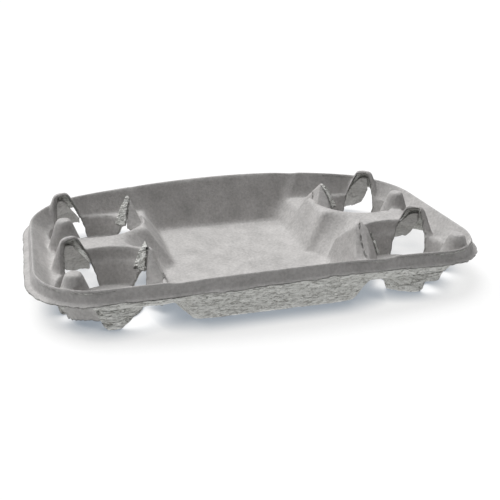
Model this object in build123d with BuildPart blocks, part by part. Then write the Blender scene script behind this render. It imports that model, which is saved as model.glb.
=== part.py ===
from build123d import *
import os
from math import cos, radians, sin, tan

# Moulded pulp carrier for four cups, with a food basin between the two pairs of cups.
# One sheet of moulded fibre, so it is one solid. X runs along its length, Y to the back,
# Z up, with the origin on the floor under the middle of the basin. Sizes are millimetres.
# The right half is made and mirrored. Its upper face is a solid mass less the open spaces
# above it, and the sheet is that mass less the same mass with its face moved in.

# Sheet
sheet = 2.2

# Rim: a narrow crest that arches over the length, with a skirt and a rough lip below it
rim_length = 362.0
rim_width = 233.0
rim_side_sagitta = 20.0
rim_corner_radius = 47.0
crest_height = 45.3
crest_end_drop = 9.8
skirt_height = 9.0
skirt_flare = 14.0
lip_width = 4.0
lip_thickness = 1.6

# Deck: the level from which the inside of the rim slopes up to the crest
deck_height = 21.5
deck_length = 337.0
deck_width = 199.0
deck_side_sagitta = 3.0
deck_corner_radius = 42.0
slope_top_height = 48.0
slope_top_length = 382.0
slope_top_width = 232.0
slope_top_sagitta = 16.0
slope_top_radius = 56.0

# Basin
basin_floor_length = 118.0
basin_floor_width = 184.0
basin_floor_radius = 12.0
basin_top_radius = 23.0
basin_side_slope = 35.0
basin_front_slope = 26.0

# The front of the basin is wider, as far back as the fingers of the front cups
front_floor_length = 146.0
front_side_slope = 20.7
front_back_y = -15.0
front_corner_length = 9.0
front_corner_width = 28.0
front_corner_radius = 6.0

# Saddle that opens the side wall of the basin between two cups
saddle_foot_x = 54.0
saddle_foot_y = -11.0
saddle_foot_radius = 18.0
saddle_head_x = 85.0
saddle_head_y = 1.0
saddle_head_radius = 21.0

# Cup wells
cup_spacing_x = 252.6
cup_spacing_y = 110.0
cup_foot_radius = 36.5
cup_wall_slope = 12.6

# Divider between two cups, and the bank that joins it to the finger of the back cup
divider_height = 33.0
divider_width = 57.0
divider_end_x = 158.0
bank_inner_x = 62.0
bank_outer_x = 104.0
bank_back_y = 68.0

# Hood: a tall half cone on the outer back corner of each cup, open to the cup
hood_bearing = 55.0
hood_reach = 45.0
hood_height = 46.8
hood_top_radius = 8.2
hood_slope = 17.2

# Finger: a faceted post on the inner side of each cup, leaning over the cup. Its corners
# at the deck go round from the corner nearest the front of the basin, seen from its tip.
finger_height = 45.6
finger_x = 90.8
finger_y = 19.0
finger_tip_radius = 3.4
finger_corners = [(-10.6, -21.0), (7.5, -23.0), (18.0, -11.5), (14.0, 13.0), (4.0, 23.0), (-10.6, 22.0)]

# Post: a closed cone on the outer front corner of each cup
post_x = 27.6
post_y = -30.9
post_height = 46.3
post_top_radius = 6.3
post_slope = 19.8

# The small cones and the saddle are faceted this many times round
cone_facets = 16

# Openings torn through the walls, each with its direction, its sill and its taper
hood_window_bearing = 58.0
hood_window_sill = 4.4
hood_window_top = 43.0
hood_window_foot_half = 17.0
hood_window_top_half = 6.0
finger_window_bearing = -47.0
finger_window_sill = 16.0
finger_window_top = 36.0
finger_window_foot_half = 5.5
finger_window_top_half = 1.5
foot_window_bearing = 156.0
foot_window_sill = 4.4
foot_window_top = 17.5
foot_window_foot_half = 19.0
foot_window_top_half = 16.0
window_near = 30.0
window_depth = 19.0

# How far a cutting body runs past what it cuts
reach = 30.0


def grow(offset, slope):
    """Sideways growth at a floor lowered by offset that keeps a sloping wall offset thick."""
    return offset * (1 - sin(radians(slope))) / cos(radians(slope))


def bowed_outline(length, width, sagitta, radius, inset):
    """A rounded rectangle with bowed long sides, moved in by inset."""
    x = length / 2
    y = width / 2
    with BuildSketch() as outline:
        with BuildLine():
            back = ThreePointArc((-x, y - sagitta), (0, y), (x, y - sagitta))
            front = ThreePointArc((x, sagitta - y), (0, -y), (-x, sagitta - y))
            Line(back @ 1, front @ 0)
            Line(front @ 1, back @ 0)
        make_face()
        fillet(outline.vertices(), radius=radius)
        if inset:
            offset(amount=-inset)
    return outline.sketch


def rim_outline(inset):
    """Plan of the rim at the height of its crest."""
    return bowed_outline(rim_length, rim_width, rim_side_sagitta, rim_corner_radius, inset)


def under_arch(drop, depth):
    """What lies under the arched crest lowered by drop, down to depth or far below the floor."""
    x = rim_length / 2 + reach
    end_drop = crest_end_drop * (x / (rim_length / 2)) ** 2
    top = crest_height - drop
    with BuildPart() as arch:
        with BuildSketch(Plane.XZ):
            with BuildLine():
                crest = ThreePointArc((-x, top - end_drop), (0, top), (x, top - end_drop))
                if depth:
                    foot = ThreePointArc(
                        (x, top - depth - end_drop), (0, top - depth), (-x, top - depth - end_drop)
                    )
                    Line(crest @ 1, foot @ 0)
                    Line(foot @ 1, crest @ 0)
                else:
                    Polyline(crest @ 1, (x, -reach), (-x, -reach), crest @ 0)
            make_face()
        extrude(amount=rim_width / 2 + reach, both=True)
    return arch.part


def rim_block(inset):
    """The flaring block inside the skirt, from far below the floor to the arched crest."""
    with BuildPart() as block:
        with BuildSketch(Plane.XY.offset(crest_height + reach)):
            add(rim_outline(inset))
            offset(amount=-reach * tan(radians(skirt_flare)))
        with BuildSketch(Plane.XY.offset(-reach)):
            add(rim_outline(inset))
            offset(amount=(crest_height + reach) * tan(radians(skirt_flare)))
        loft(ruled=True)
        add(under_arch(inset, 0), mode=Mode.INTERSECT)
    return block.part


def rim_slope(growth):
    """The open space above the deck, whose walls slope up to the crest."""
    with BuildPart() as space:
        with BuildSketch(Plane.XY.offset(deck_height - growth)):
            add(bowed_outline(deck_length, deck_width, deck_side_sagitta, deck_corner_radius, -growth / 2))
        with BuildSketch(Plane.XY.offset(slope_top_height)):
            add(
                bowed_outline(
                    slope_top_length, slope_top_width, slope_top_sagitta, slope_top_radius, -growth
                )
            )
        loft(ruled=True)
    return space.part


def basin(growth):
    """The basin, wider at the top, with its floor lowered by growth."""
    floor = sheet - growth
    x = basin_floor_length / 2 + grow(growth, basin_side_slope)
    y = basin_floor_width / 2 + grow(growth, basin_front_slope)
    rise = slope_top_height - floor
    top_x = x + rise * tan(radians(basin_side_slope))
    top_y = y + rise * tan(radians(basin_front_slope))
    with BuildPart() as well:
        with BuildSketch(Plane.XY.offset(floor)):
            RectangleRounded(2 * x, 2 * y, basin_floor_radius)
        with BuildSketch(Plane.XY.offset(slope_top_height)):
            RectangleRounded(2 * top_x, 2 * top_y, basin_top_radius)
        loft(ruled=True)
    return well.part


def wide_front(growth):
    """The wider front of the basin, whose side walls run up into the fingers."""
    floor = sheet - growth
    x = front_floor_length / 2 + grow(growth, front_side_slope)
    y = basin_floor_width / 2 + grow(growth, basin_front_slope)
    back = front_back_y + growth
    rise = slope_top_height - floor
    top_x = x + rise * tan(radians(front_side_slope))
    top_y = y + rise * tan(radians(basin_front_slope))
    with BuildPart() as space:
        for height, half, front in ((floor, x, y), (slope_top_height, top_x, top_y)):
            turn = -front + front_corner_width
            near = half - front_corner_length
            right = [(near, -front), (half, turn), (half, back)]
            left = [(-half, back), (-half, turn), (-near, -front)]
            with BuildSketch(Plane.XY.offset(height)):
                Polygon(*right, *left, align=None)
                fillet(vertices().group_by(Axis.Y)[0], radius=front_corner_radius)
        loft(ruled=True)
    return space.part


def saddle(growth):
    """The faceted valley that leads from the basin up to the divider."""
    with BuildPart() as valley:
        with BuildSketch(Plane.XY.offset(sheet - growth)):
            with Locations((saddle_foot_x, saddle_foot_y)):
                RegularPolygon(saddle_foot_radius + grow(growth, basin_side_slope), cone_facets)
        with BuildSketch(Plane.XY.offset(divider_height + sheet)):
            with Locations((saddle_head_x, saddle_head_y)):
                RegularPolygon(saddle_head_radius + growth, cone_facets)
        loft(ruled=True)
    return valley.part


def cup_centres():
    """Centres of the front and the back cup of the right half."""
    return [(cup_spacing_x / 2, -cup_spacing_y / 2), (cup_spacing_x / 2, cup_spacing_y / 2)]


def cup_wells(growth):
    """The tapering cup wells, with their floors lowered by growth."""
    floor = sheet - growth
    rise = slope_top_height - floor
    foot = cup_foot_radius + grow(growth, cup_wall_slope)
    head = foot + rise * tan(radians(cup_wall_slope))
    with BuildPart() as wells:
        with Locations(*[(x, y, floor) for x, y in cup_centres()]):
            Cone(foot, head, rise, align=(Align.CENTER, Align.CENTER, Align.MIN))
    return wells.part


def banks(inset):
    """The divider between the cups, and the bank between the back cup and the basin."""
    with BuildPart() as mass:
        with BuildSketch(Plane.XY.offset(-inset)):
            with Locations(((bank_inner_x + divider_end_x) / 2, 0)):
                Rectangle(divider_end_x - bank_inner_x, divider_width)
            with Locations(((bank_inner_x + bank_outer_x) / 2, bank_back_y / 2)):
                Rectangle(bank_outer_x - bank_inner_x, bank_back_y)
            if inset:
                offset(amount=-inset, kind=Kind.INTERSECTION)
        extrude(amount=divider_height)
    return mass.part


def cones(places, top_radius, slope, top, foot):
    """Faceted cone frustums at the given places, from the level of the foot to the top."""
    foot_radius = top_radius + (top - foot) * tan(radians(slope))
    with BuildPart() as shapes:
        for x, y in places:
            for height, radius in ((foot, foot_radius), (top, top_radius)):
                with BuildSketch(Plane.XY.offset(height)):
                    with Locations((x, y)):
                        RegularPolygon(radius, cone_facets)
            loft(ruled=True)
    return shapes.part


def hoods(inset):
    """The tall half cones behind the cups; the cup wells cut their open sides."""
    reach_x = hood_reach * cos(radians(hood_bearing))
    reach_y = hood_reach * sin(radians(hood_bearing))
    places = [(x + reach_x, y + reach_y) for x, y in cup_centres()]
    return cones(places, hood_top_radius - inset, hood_slope, hood_height - inset, sheet)


def posts(inset):
    """The closed cones on the outer front corners of the cups."""
    places = [(x + post_x, y + post_y) for x, y in cup_centres()]
    return cones(places, post_top_radius - inset, post_slope, post_height - inset, sheet - 2 * inset)


def finger(cup_y, inset):
    """One faceted post, from just below the deck to its narrow tip."""
    y = cup_y + finger_y
    with BuildPart() as shape:
        with BuildSketch(Plane.XY.offset(deck_height - 3 * inset)):
            Polygon(*[(finger_x + dx, y + dy) for dx, dy in finger_corners], align=None)
            if inset:
                offset(amount=-inset)
        with BuildSketch(Plane.XY.offset(finger_height - inset)):
            with Locations((finger_x, y)):
                RegularPolygon(finger_tip_radius - inset / 2, len(finger_corners))
        loft(ruled=True)
    return shape.part


def pulp_mass(inset):
    """Everything under the sheet's upper face, with that face moved inwards by inset."""
    with BuildPart() as mass:
        add(rim_block(inset))
        add(rim_slope(inset), mode=Mode.SUBTRACT)
        add(banks(inset))
        add(hoods(inset))
        add(basin(inset), mode=Mode.SUBTRACT)
        add(wide_front(inset), mode=Mode.SUBTRACT)
        add(saddle(inset), mode=Mode.SUBTRACT)
        add(cup_wells(inset), mode=Mode.SUBTRACT)
        for x, y in cup_centres():
            add(finger(y, inset))
        add(posts(inset))
        split(bisect_by=Plane.YZ, keep=Keep.TOP)
    return mass.part


def below_the_skirt():
    """The space round the wells and the basin, below the edge of the skirt."""
    with BuildPart() as space:
        add(under_arch(skirt_height, 0))
        add(rim_slope(sheet), mode=Mode.SUBTRACT)
        add(basin(sheet), mode=Mode.SUBTRACT)
        add(wide_front(sheet), mode=Mode.SUBTRACT)
        add(saddle(sheet), mode=Mode.SUBTRACT)
        add(cup_wells(sheet), mode=Mode.SUBTRACT)
        split(bisect_by=Plane.YZ, keep=Keep.TOP)
    return space.part


def lip():
    """The rough edge that stands out round the foot of the skirt."""
    with BuildPart() as edge:
        add(rim_block(-lip_width))
        add(under_arch(skirt_height - lip_thickness, lip_thickness), mode=Mode.INTERSECT)
        add(rim_block(sheet / 2), mode=Mode.SUBTRACT)
        split(bisect_by=Plane.YZ, keep=Keep.TOP)
    return edge.part


def opening(x, y, bearing, near, outline):
    """A hole through the wall that stands near away from (x, y), facing along bearing."""
    outward = (cos(radians(bearing)), sin(radians(bearing)), 0)
    along = (-sin(radians(bearing)), cos(radians(bearing)), 0)
    plane = Plane(origin=(x, y, 0), x_dir=along, z_dir=outward)
    foot_half, top_half, sill, top = outline
    with BuildPart() as hole:
        with BuildSketch(plane.offset(near)):
            Polygon((-foot_half, sill), (foot_half, sill), (top_half, top), (-top_half, top), align=None)
        extrude(amount=window_depth)
    return hole.part


def windows():
    """The torn openings of both cups: in the hood, in the finger and below the finger."""
    hood = (hood_window_foot_half, hood_window_top_half, hood_window_sill, hood_window_top)
    tip = (finger_window_foot_half, finger_window_top_half, finger_window_sill, finger_window_top)
    foot = (foot_window_foot_half, foot_window_top_half, foot_window_sill, foot_window_top)
    with BuildPart() as holes:
        for x, y in cup_centres():
            add(opening(x, y, hood_window_bearing, window_near, hood))
            add(opening(x, y, foot_window_bearing, window_near, foot))
            add(opening(finger_x, y + finger_y, finger_window_bearing, finger_tip_radius, tip))
    return holes.part


with BuildPart() as carrier:
    add(pulp_mass(0))
    add(pulp_mass(sheet), mode=Mode.SUBTRACT)
    add(below_the_skirt(), mode=Mode.SUBTRACT)
    add(lip())
    add(windows(), mode=Mode.SUBTRACT)
    mirror(about=Plane.YZ)

carrier.part.label = "carrier"

os.makedirs("parts", exist_ok=True)
export_step(carrier.part, "parts/carrier.step")
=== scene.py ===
"""Dressed scene of a moulded pulp carrier for four cups, seen on a plain white table."""

import logging
import math
from dataclasses import dataclass, field
from enum import Enum

import bpy
import numpy as np
from mathutils import Matrix, Vector
from mathutils.geometry import delaunay_2d_cdt

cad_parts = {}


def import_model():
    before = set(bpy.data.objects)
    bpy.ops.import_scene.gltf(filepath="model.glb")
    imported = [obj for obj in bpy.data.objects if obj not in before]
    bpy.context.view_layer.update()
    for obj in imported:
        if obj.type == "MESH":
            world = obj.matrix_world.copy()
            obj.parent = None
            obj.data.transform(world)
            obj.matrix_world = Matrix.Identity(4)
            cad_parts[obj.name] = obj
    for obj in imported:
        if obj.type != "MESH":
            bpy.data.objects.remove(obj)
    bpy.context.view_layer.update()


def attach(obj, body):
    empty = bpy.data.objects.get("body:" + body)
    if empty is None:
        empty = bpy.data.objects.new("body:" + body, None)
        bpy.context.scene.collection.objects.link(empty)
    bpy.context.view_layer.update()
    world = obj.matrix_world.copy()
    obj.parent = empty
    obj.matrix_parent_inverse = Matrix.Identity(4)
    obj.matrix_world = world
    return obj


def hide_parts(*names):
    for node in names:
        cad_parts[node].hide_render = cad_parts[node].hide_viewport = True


LOG = logging.getLogger("carrier")
MM = 0.001
PHOTO_PIXELS = 500.0
PULP = "moulded_pulp"
ROWS = (-1.0, 1.0)
LAYER_SHARE = 0.6
LAYER_SHIFT = 37.0
OUT_OF_REACH = 9.0
SAME_PLACE = 1e-6
SAME_DECIMALS = 5
SLIVER = 1e-9
LEAST_LENGTH = 1e-9
ON_EDGE = 1e-7
CUT_MARGIN = 0.04
NEAR_SEAM = 1e-4
ON_SEAM = 1e-6
FAR_BELOW = -50.0
FAR_ABOVE = 60.0
WALL_STEEPNESS = 3.0
Source = float | tuple[float, ...] | bpy.types.NodeSocket


class PulpFace(Enum):
    """The two faces of moulded pulp, as the value that the face attribute holds."""

    SMOOTH = 0.0
    WIRE = 1.0


class Corner(Enum):
    """The four cups, each as the side of the tray in X and the row in Y."""

    FRONT_LEFT = (-1.0, -1.0)
    FRONT_RIGHT = (1.0, -1.0)
    BACK_LEFT = (-1.0, 1.0)
    BACK_RIGHT = (1.0, 1.0)


def soft_max(a: np.ndarray, b: np.ndarray, blend: float) -> np.ndarray:
    """The larger of two heights with a rounded changeover.

    Where the two differ by less than blend, h = (blend - |a - b|) / blend and the result is
    max(a, b) + h * h * blend / 4.

    Args:
        a: First heights.
        b: Second heights.
        blend: Difference of height over which they run together, in mm.

    Returns:
        The blended heights.
    """
    h = np.clip(blend - np.abs(a - b), 0.0, None) / blend
    return np.maximum(a, b) + h * h * blend / 4.0


def soft_min(a: np.ndarray, b: np.ndarray, blend: float) -> np.ndarray:
    """The smaller of two heights with a rounded changeover, as soft_max turned over.

    Args:
        a: First heights.
        b: Second heights.
        blend: Difference of height over which they run together, in mm.

    Returns:
        The blended heights.
    """
    return -soft_max(-a, -b, blend)


def smooth_step(edge: float, far: float, value: np.ndarray) -> np.ndarray:
    """0 before edge and 1 past far, with 3t^2 - 2t^3 between them.

    Args:
        edge: Value where the step starts.
        far: Value where the step ends.
        value: Values to weigh.

    Returns:
        Weights from 0 to 1.
    """
    t = np.clip((value - edge) / (far - edge), 0.0, 1.0)
    return t * t * (3.0 - 2.0 * t)


class Grain:
    """Seeded value noise in three dimensions, smooth between the points of a lattice."""

    def __init__(self, seed: int) -> None:
        """Draws the lattice of random values.

        Args:
            seed: Seed of the draw.
        """
        self.cells = 32
        self.values = np.random.default_rng(seed).uniform(-1.0, 1.0, (self.cells,) * 3)

    def at(self, points: np.ndarray, pitch: float) -> np.ndarray:
        """Noise between -1 and 1: the eight lattice values round a point, each weighed by the
        product of 3t^2 - 2t^3 along the three axes.

        Args:
            points: Points as an (n, 3) array, in mm.
            pitch: Distance between lattice points, in mm.

        Returns:
            One value a point.
        """
        scaled = points / pitch
        base = np.floor(scaled).astype(int)
        part = scaled - base
        ease = part * part * (3.0 - 2.0 * part)
        total = np.zeros(len(points))
        for step in np.ndindex(2, 2, 2):
            index = (base + np.array(step)) % self.cells
            weight = np.prod(np.where(np.array(step) == 1, ease, 1.0 - ease), axis=1)
            total += weight * self.values[index[:, 0], index[:, 1], index[:, 2]]
        return total

    def rough(self, points: np.ndarray, pitch: float, octaves: int) -> np.ndarray:
        """Several layers of noise, each of half the pitch and 0.6 of the height of the last.

        Args:
            points: Points as an (n, 3) array, in mm.
            pitch: Pitch of the coarsest layer, in mm.
            octaves: Number of layers.

        Returns:
            One value a point, within about -1 and 1.
        """
        total = np.zeros(len(points))
        reach = 0.0
        for layer in range(octaves):
            share = LAYER_SHARE**layer
            total += share * self.at(points + LAYER_SHIFT * layer, pitch / 2**layer)
            reach += share
        return total / reach


@dataclass(frozen=True)
class BowedOutline:
    """A rounded rectangle whose long sides bow outwards, in mm."""

    length: float
    width: float
    sagitta: float
    radius: float

    def bow(self, x: np.ndarray) -> np.ndarray:
        """How far the long side has come in at x: sagitta times (x / half length) squared."""
        return self.sagitta * (x / (self.length / 2.0)) ** 2

    def distance(self, x: np.ndarray, y: np.ndarray) -> np.ndarray:
        """Distance outside the outline, as that of a rounded rectangle once the bow is undone.

        Args:
            x: Positions along the length.
            y: Positions across the width.

        Returns:
            Distances in mm, negative inside.
        """
        across = np.abs(x) - (self.length / 2.0 - self.radius)
        along = np.abs(y) + self.bow(x) - (self.width / 2.0 - self.radius)
        outside = np.hypot(np.maximum(across, 0.0), np.maximum(along, 0.0))
        return np.minimum(np.maximum(across, along), 0.0) + outside - self.radius

    def loop(self, offset: float, pitch: float, radius: float) -> np.ndarray:
        """Points all the way round the outline grown by offset.

        A quarter is a straight run, an arc of the grown radius and a straight run, and it is
        turned over for the other three quarters. The arc is shared out as one of the given radius
        is, so the points of loops with different offsets stand beside each other.

        Args:
            offset: Growth of the outline, in mm.
            pitch: Spacing of the points, in mm.
            radius: Radius by which the arc is shared out, in mm.

        Returns:
            Points as an (n, 2) array.
        """
        grown = self.radius + offset
        run_x = self.length / 2.0 - self.radius
        run_y = self.width / 2.0 - self.radius
        arc = radius * math.pi / 2.0
        side = run_y - self.sagitta
        total = run_x + side + arc
        count = int(total / pitch)
        s = (np.arange(count) + 0.5) * total / count
        angle = np.clip((s - run_x) / radius, 0.0, math.pi / 2.0)
        x = np.minimum(s, run_x) + grown * np.sin(angle)
        down = np.maximum(s - run_x - arc, 0.0) / side
        y = grown * np.cos(angle) + (run_y - self.bow(x)) * (1.0 - down)
        quarter = np.stack([x, y], axis=1)
        back = quarter[::-1]
        turned = [quarter, back * (1, -1), quarter * (-1, -1), back * (-1, 1)]
        return np.concatenate(turned)


@dataclass(frozen=True)
class Valley:
    """The space swept between a circle at the foot and a circle at the head, in mm."""

    foot: tuple[float, float]
    foot_radius: float
    head: tuple[float, float]
    head_radius: float
    low: float
    high: float

    def height(self, x: np.ndarray, y: np.ndarray) -> np.ndarray:
        """Height of the valley's surface: the lowest level whose circle holds the point.

        At share t of the rise the circle's centre and radius are the weighed mean of the two
        ends, so t is the smaller root of a quadratic.

        Args:
            x: Positions along the length.
            y: Positions across the width.

        Returns:
            Heights in mm, far above the tray where no circle holds the point.
        """
        run = np.array(self.head) - np.array(self.foot)
        gain = self.head_radius - self.foot_radius
        qx = x - self.foot[0]
        qy = y - self.foot[1]
        a = run @ run - gain**2
        b = qx * run[0] + qy * run[1] + self.foot_radius * gain
        c = qx**2 + qy**2 - self.foot_radius**2
        root = np.sqrt(np.maximum(b**2 - a * c, 0.0))
        share = np.maximum((b - root) / a, 0.0)
        share = np.where((b**2 < a * c) | (c <= 0.0), np.where(c <= 0.0, 0.0, OUT_OF_REACH), share)
        share = np.where((b < 0.0) & (c > 0.0), OUT_OF_REACH, share)
        return self.low + (self.high - self.low) * share


@dataclass(frozen=True)
class Finger:
    """A leaning faceted post on the basin side of a cup, torn open towards the cup.

    Its places are those of the front right cup, in mm, and it is carried to the others. Each
    facet is a plane, and the post is the lowest of them. The side towards the cup falls away
    faster the further it is from the tip. "over" is how far a facet's plane passes above the
    tip, and "blend" how softly it runs into the others.
    """

    tip: tuple[float, float] = (89.4, -39.4)
    top: float = 44.4
    foot_x: float = 73.6
    foot_level: float = 3.0
    side_rise: float = 2.65
    crown_over: float = 0.5
    crown_blend: float = 1.2
    back_y: float = -12.6
    back_rise: float = 6.0
    back_fall: float = 0.60
    back_lean: float = 1.1
    front_over: float = 0.8
    front_rise: float = 1.0
    front_lean: float = 0.13
    front_blend: float = 1.0
    front_level: float = 7.0
    cup_normal: tuple[float, float] = (0.726, -0.687)
    cup_over: float = 0.6
    cup_fall: float = 0.5
    cup_curve: float = 0.045
    cup_blend: float = 1.8
    rear_normal: tuple[float, float] = (0.775, 0.632)
    rear_level: float = 21.0
    rear_reach: float = 8.8
    rear_rise: float = 7.0
    rear_blend: float = 4.0
    crack: float = 1.3
    crack_edge: float = 1.3
    crack_lean: float = 0.54
    crack_flare: float = 0.04
    crack_start: float = 4.0

    def across(self, x: np.ndarray, y: np.ndarray) -> tuple[np.ndarray, np.ndarray]:
        """Distance from the tip towards the cup, and sideways along the torn opening.

        Args:
            x: Positions along the length.
            y: Positions across the width.

        Returns:
            The two distances in mm.
        """
        dx = x - self.tip[0]
        dy = y - self.tip[1]
        towards = dx * self.cup_normal[0] + dy * self.cup_normal[1]
        aside = -dx * self.cup_normal[1] + dy * self.cup_normal[0]
        return towards, aside

    def height(self, x: np.ndarray, y: np.ndarray) -> np.ndarray:
        """Height of the post: the rounded smallest of its facets.

        Args:
            x: Positions along the length.
            y: Positions across the width.

        Returns:
            Heights in mm.
        """
        dx = x - self.tip[0]
        dy = y - self.tip[1]
        side = self.foot_level + self.side_rise * (x - self.foot_x)
        crown = self.top + self.crown_over + self.back_fall * (self.tip[1] - y)
        crown = crown + self.back_lean * dx
        front = self.top + self.front_over + self.front_rise * dy + self.front_lean * dx
        towards, _ = self.across(x, y)
        ahead = np.maximum(towards, 0.0)
        cup = self.top + self.cup_over - self.cup_fall * towards - self.cup_curve * ahead**2
        behind = dx * self.rear_normal[0] + dy * self.rear_normal[1]
        rear = self.rear_level + self.rear_rise * (self.rear_reach - behind)
        back = self.foot_level + self.back_rise * (self.back_y - y)
        level = soft_min(side, front, self.front_blend)
        level = soft_min(level, crown, self.crown_blend)
        level = soft_min(level, cup, self.cup_blend)
        level = soft_min(level, rear, self.rear_blend)
        return soft_min(level, back, self.rear_blend)

    def past_crack(self, x: np.ndarray, y: np.ndarray) -> np.ndarray:
        """How far a point lies past the edge of the front facet, on the torn side of the post."""
        towards, aside = self.across(x, y)
        return aside + self.crack_lean * towards - self.crack_edge

    def opening(self, x: np.ndarray, y: np.ndarray) -> np.ndarray:
        """How far inside the crack a point lies, along the edge of the front facet.

        Args:
            x: Positions along the length.
            y: Positions across the width.

        Returns:
            Distances in mm, negative outside the opening.
        """
        towards, _ = self.across(x, y)
        past = self.past_crack(x, y)
        wide = self.crack + self.crack_flare * towards
        return np.minimum(np.minimum(past, wide - past), towards - self.crack_start)


FINGERS: dict[Corner, Finger] = {
    Corner.FRONT_RIGHT: Finger(side_rise=3.3, back_lean=0.9, crack_edge=9.0),
    Corner.FRONT_LEFT: Finger(tip=(88.4, -37.7), side_rise=2.3),
    Corner.BACK_RIGHT: Finger(tip=(95.3, -45.4), side_rise=1.95, front_level=21.0),
    Corner.BACK_LEFT: Finger(tip=(87.8, -36.4), front_level=21.0),
}


@dataclass(frozen=True)
class TornWell:
    """Where one well's wall is torn away, in mm and in degrees round the cup.

    The finger over the well ends at finger_level. The foot opening under it ends at a bearing for
    each level. The wall's lower edge has a level for each bearing, and below it the wall and the
    edge of the floor are missing.
    """

    finger_level: float
    foot_levels: tuple[float, ...]
    foot_bearings: tuple[float, ...]
    low_bearings: tuple[float, ...]
    low_levels: tuple[float, ...]


TORN_WELLS: dict[Corner, TornWell] = {
    Corner.FRONT_RIGHT: TornWell(
        finger_level=19.0,
        foot_levels=(0.0, 2.2, 8.5, 16.0, 22.0),
        foot_bearings=(222.0, 221.0, 217.0, 215.0, 213.0),
        low_bearings=(0.0, 262.5, 265.0, 300.0, 304.0, 345.0, 356.0, 360.0),
        low_levels=(-9.0, -9.0, 11.0, 10.5, 17.0, 17.0, -9.0, -9.0),
    ),
    Corner.FRONT_LEFT: TornWell(
        finger_level=27.0,
        foot_levels=(0.0, 3.0, 6.0, 9.0, 13.5, 17.5, 21.5),
        foot_bearings=(271.0, 263.0, 258.0, 253.0, 247.0, 242.0, 238.0),
        low_bearings=(
            (0.0, 280.0, 283.0, 297.0, 309.0, 324.0, 334.0, 338.0)
            + (341.0, 350.0, 358.0, 360.0)
        ),
        low_levels=(-9.0, -9.0, 8.5, 8.6, 7.5, 4.5, 3.5, 8.0, 17.0, 17.0, -9.0, -9.0),
    ),
    Corner.BACK_RIGHT: TornWell(
        finger_level=25.0,
        foot_levels=(0.0, 10.0, 22.0),
        foot_bearings=(226.0, 219.0, 214.0),
        low_bearings=(0.0, 270.0, 274.0, 310.0, 334.0, 348.0, 354.0, 360.0),
        low_levels=(-9.0, -9.0, 9.0, 7.5, 5.0, 12.0, -9.0, -9.0),
    ),
    Corner.BACK_LEFT: TornWell(
        finger_level=23.0,
        foot_levels=(0.0, 10.0, 22.0),
        foot_bearings=(212.0, 209.0, 204.0),
        low_bearings=(0.0, 258.0, 262.0, 299.0, 305.0, 340.0, 352.0, 360.0),
        low_levels=(-9.0, -9.0, 10.0, 12.0, 16.0, 15.0, -9.0, -9.0),
    ),
}


def unit_ring(step: float) -> np.ndarray:
    """Points on a circle of radius 1, step degrees apart."""
    lean = np.radians(np.arange(0.0, 360.0, step))
    return np.stack([np.cos(lean), np.sin(lean)], axis=1)


def lattice(low: tuple[float, float], high: tuple[float, float], pitch: float) -> np.ndarray:
    """Points of a square lattice from a low corner, pitch apart, as far as a high corner."""
    gx, gy = np.meshgrid(np.arange(low[0], high[0], pitch), np.arange(low[1], high[1], pitch))
    return np.stack([gx.ravel(), gy.ravel()], axis=1)


class Net:
    """Points of a plan gathered from families of rings, with the edges along the rings."""

    def __init__(self) -> None:
        """Starts with no points."""
        self.points: list[np.ndarray] = []
        self.edges: list[np.ndarray] = []
        self.count = 0

    def add(self, family: np.ndarray, chosen: np.ndarray | None = None, closed: bool = False) -> None:
        """Adds a family of rings, or loose points when it isn't closed.

        Args:
            family: Points as a (rings, n, 2) array.
            chosen: Which of them are used, or None for all.
            closed: Whether the neighbours on a ring are joined by edges.
        """
        chosen = np.ones(family.shape[:2], bool) if chosen is None else chosen
        index = np.full(family.shape[:2], -1)
        index[chosen] = self.count + np.arange(chosen.sum())
        self.points.append(family[chosen])
        self.count += int(chosen.sum())
        if closed:
            after = np.roll(index, -1, axis=1)
            both = (index >= 0) & (after >= 0)
            self.edges.append(np.stack([index[both], after[both]], axis=1))

    def joined(self) -> tuple[np.ndarray, np.ndarray]:
        """All the points and all the edges."""
        return np.concatenate(self.points), np.concatenate(self.edges)


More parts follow.
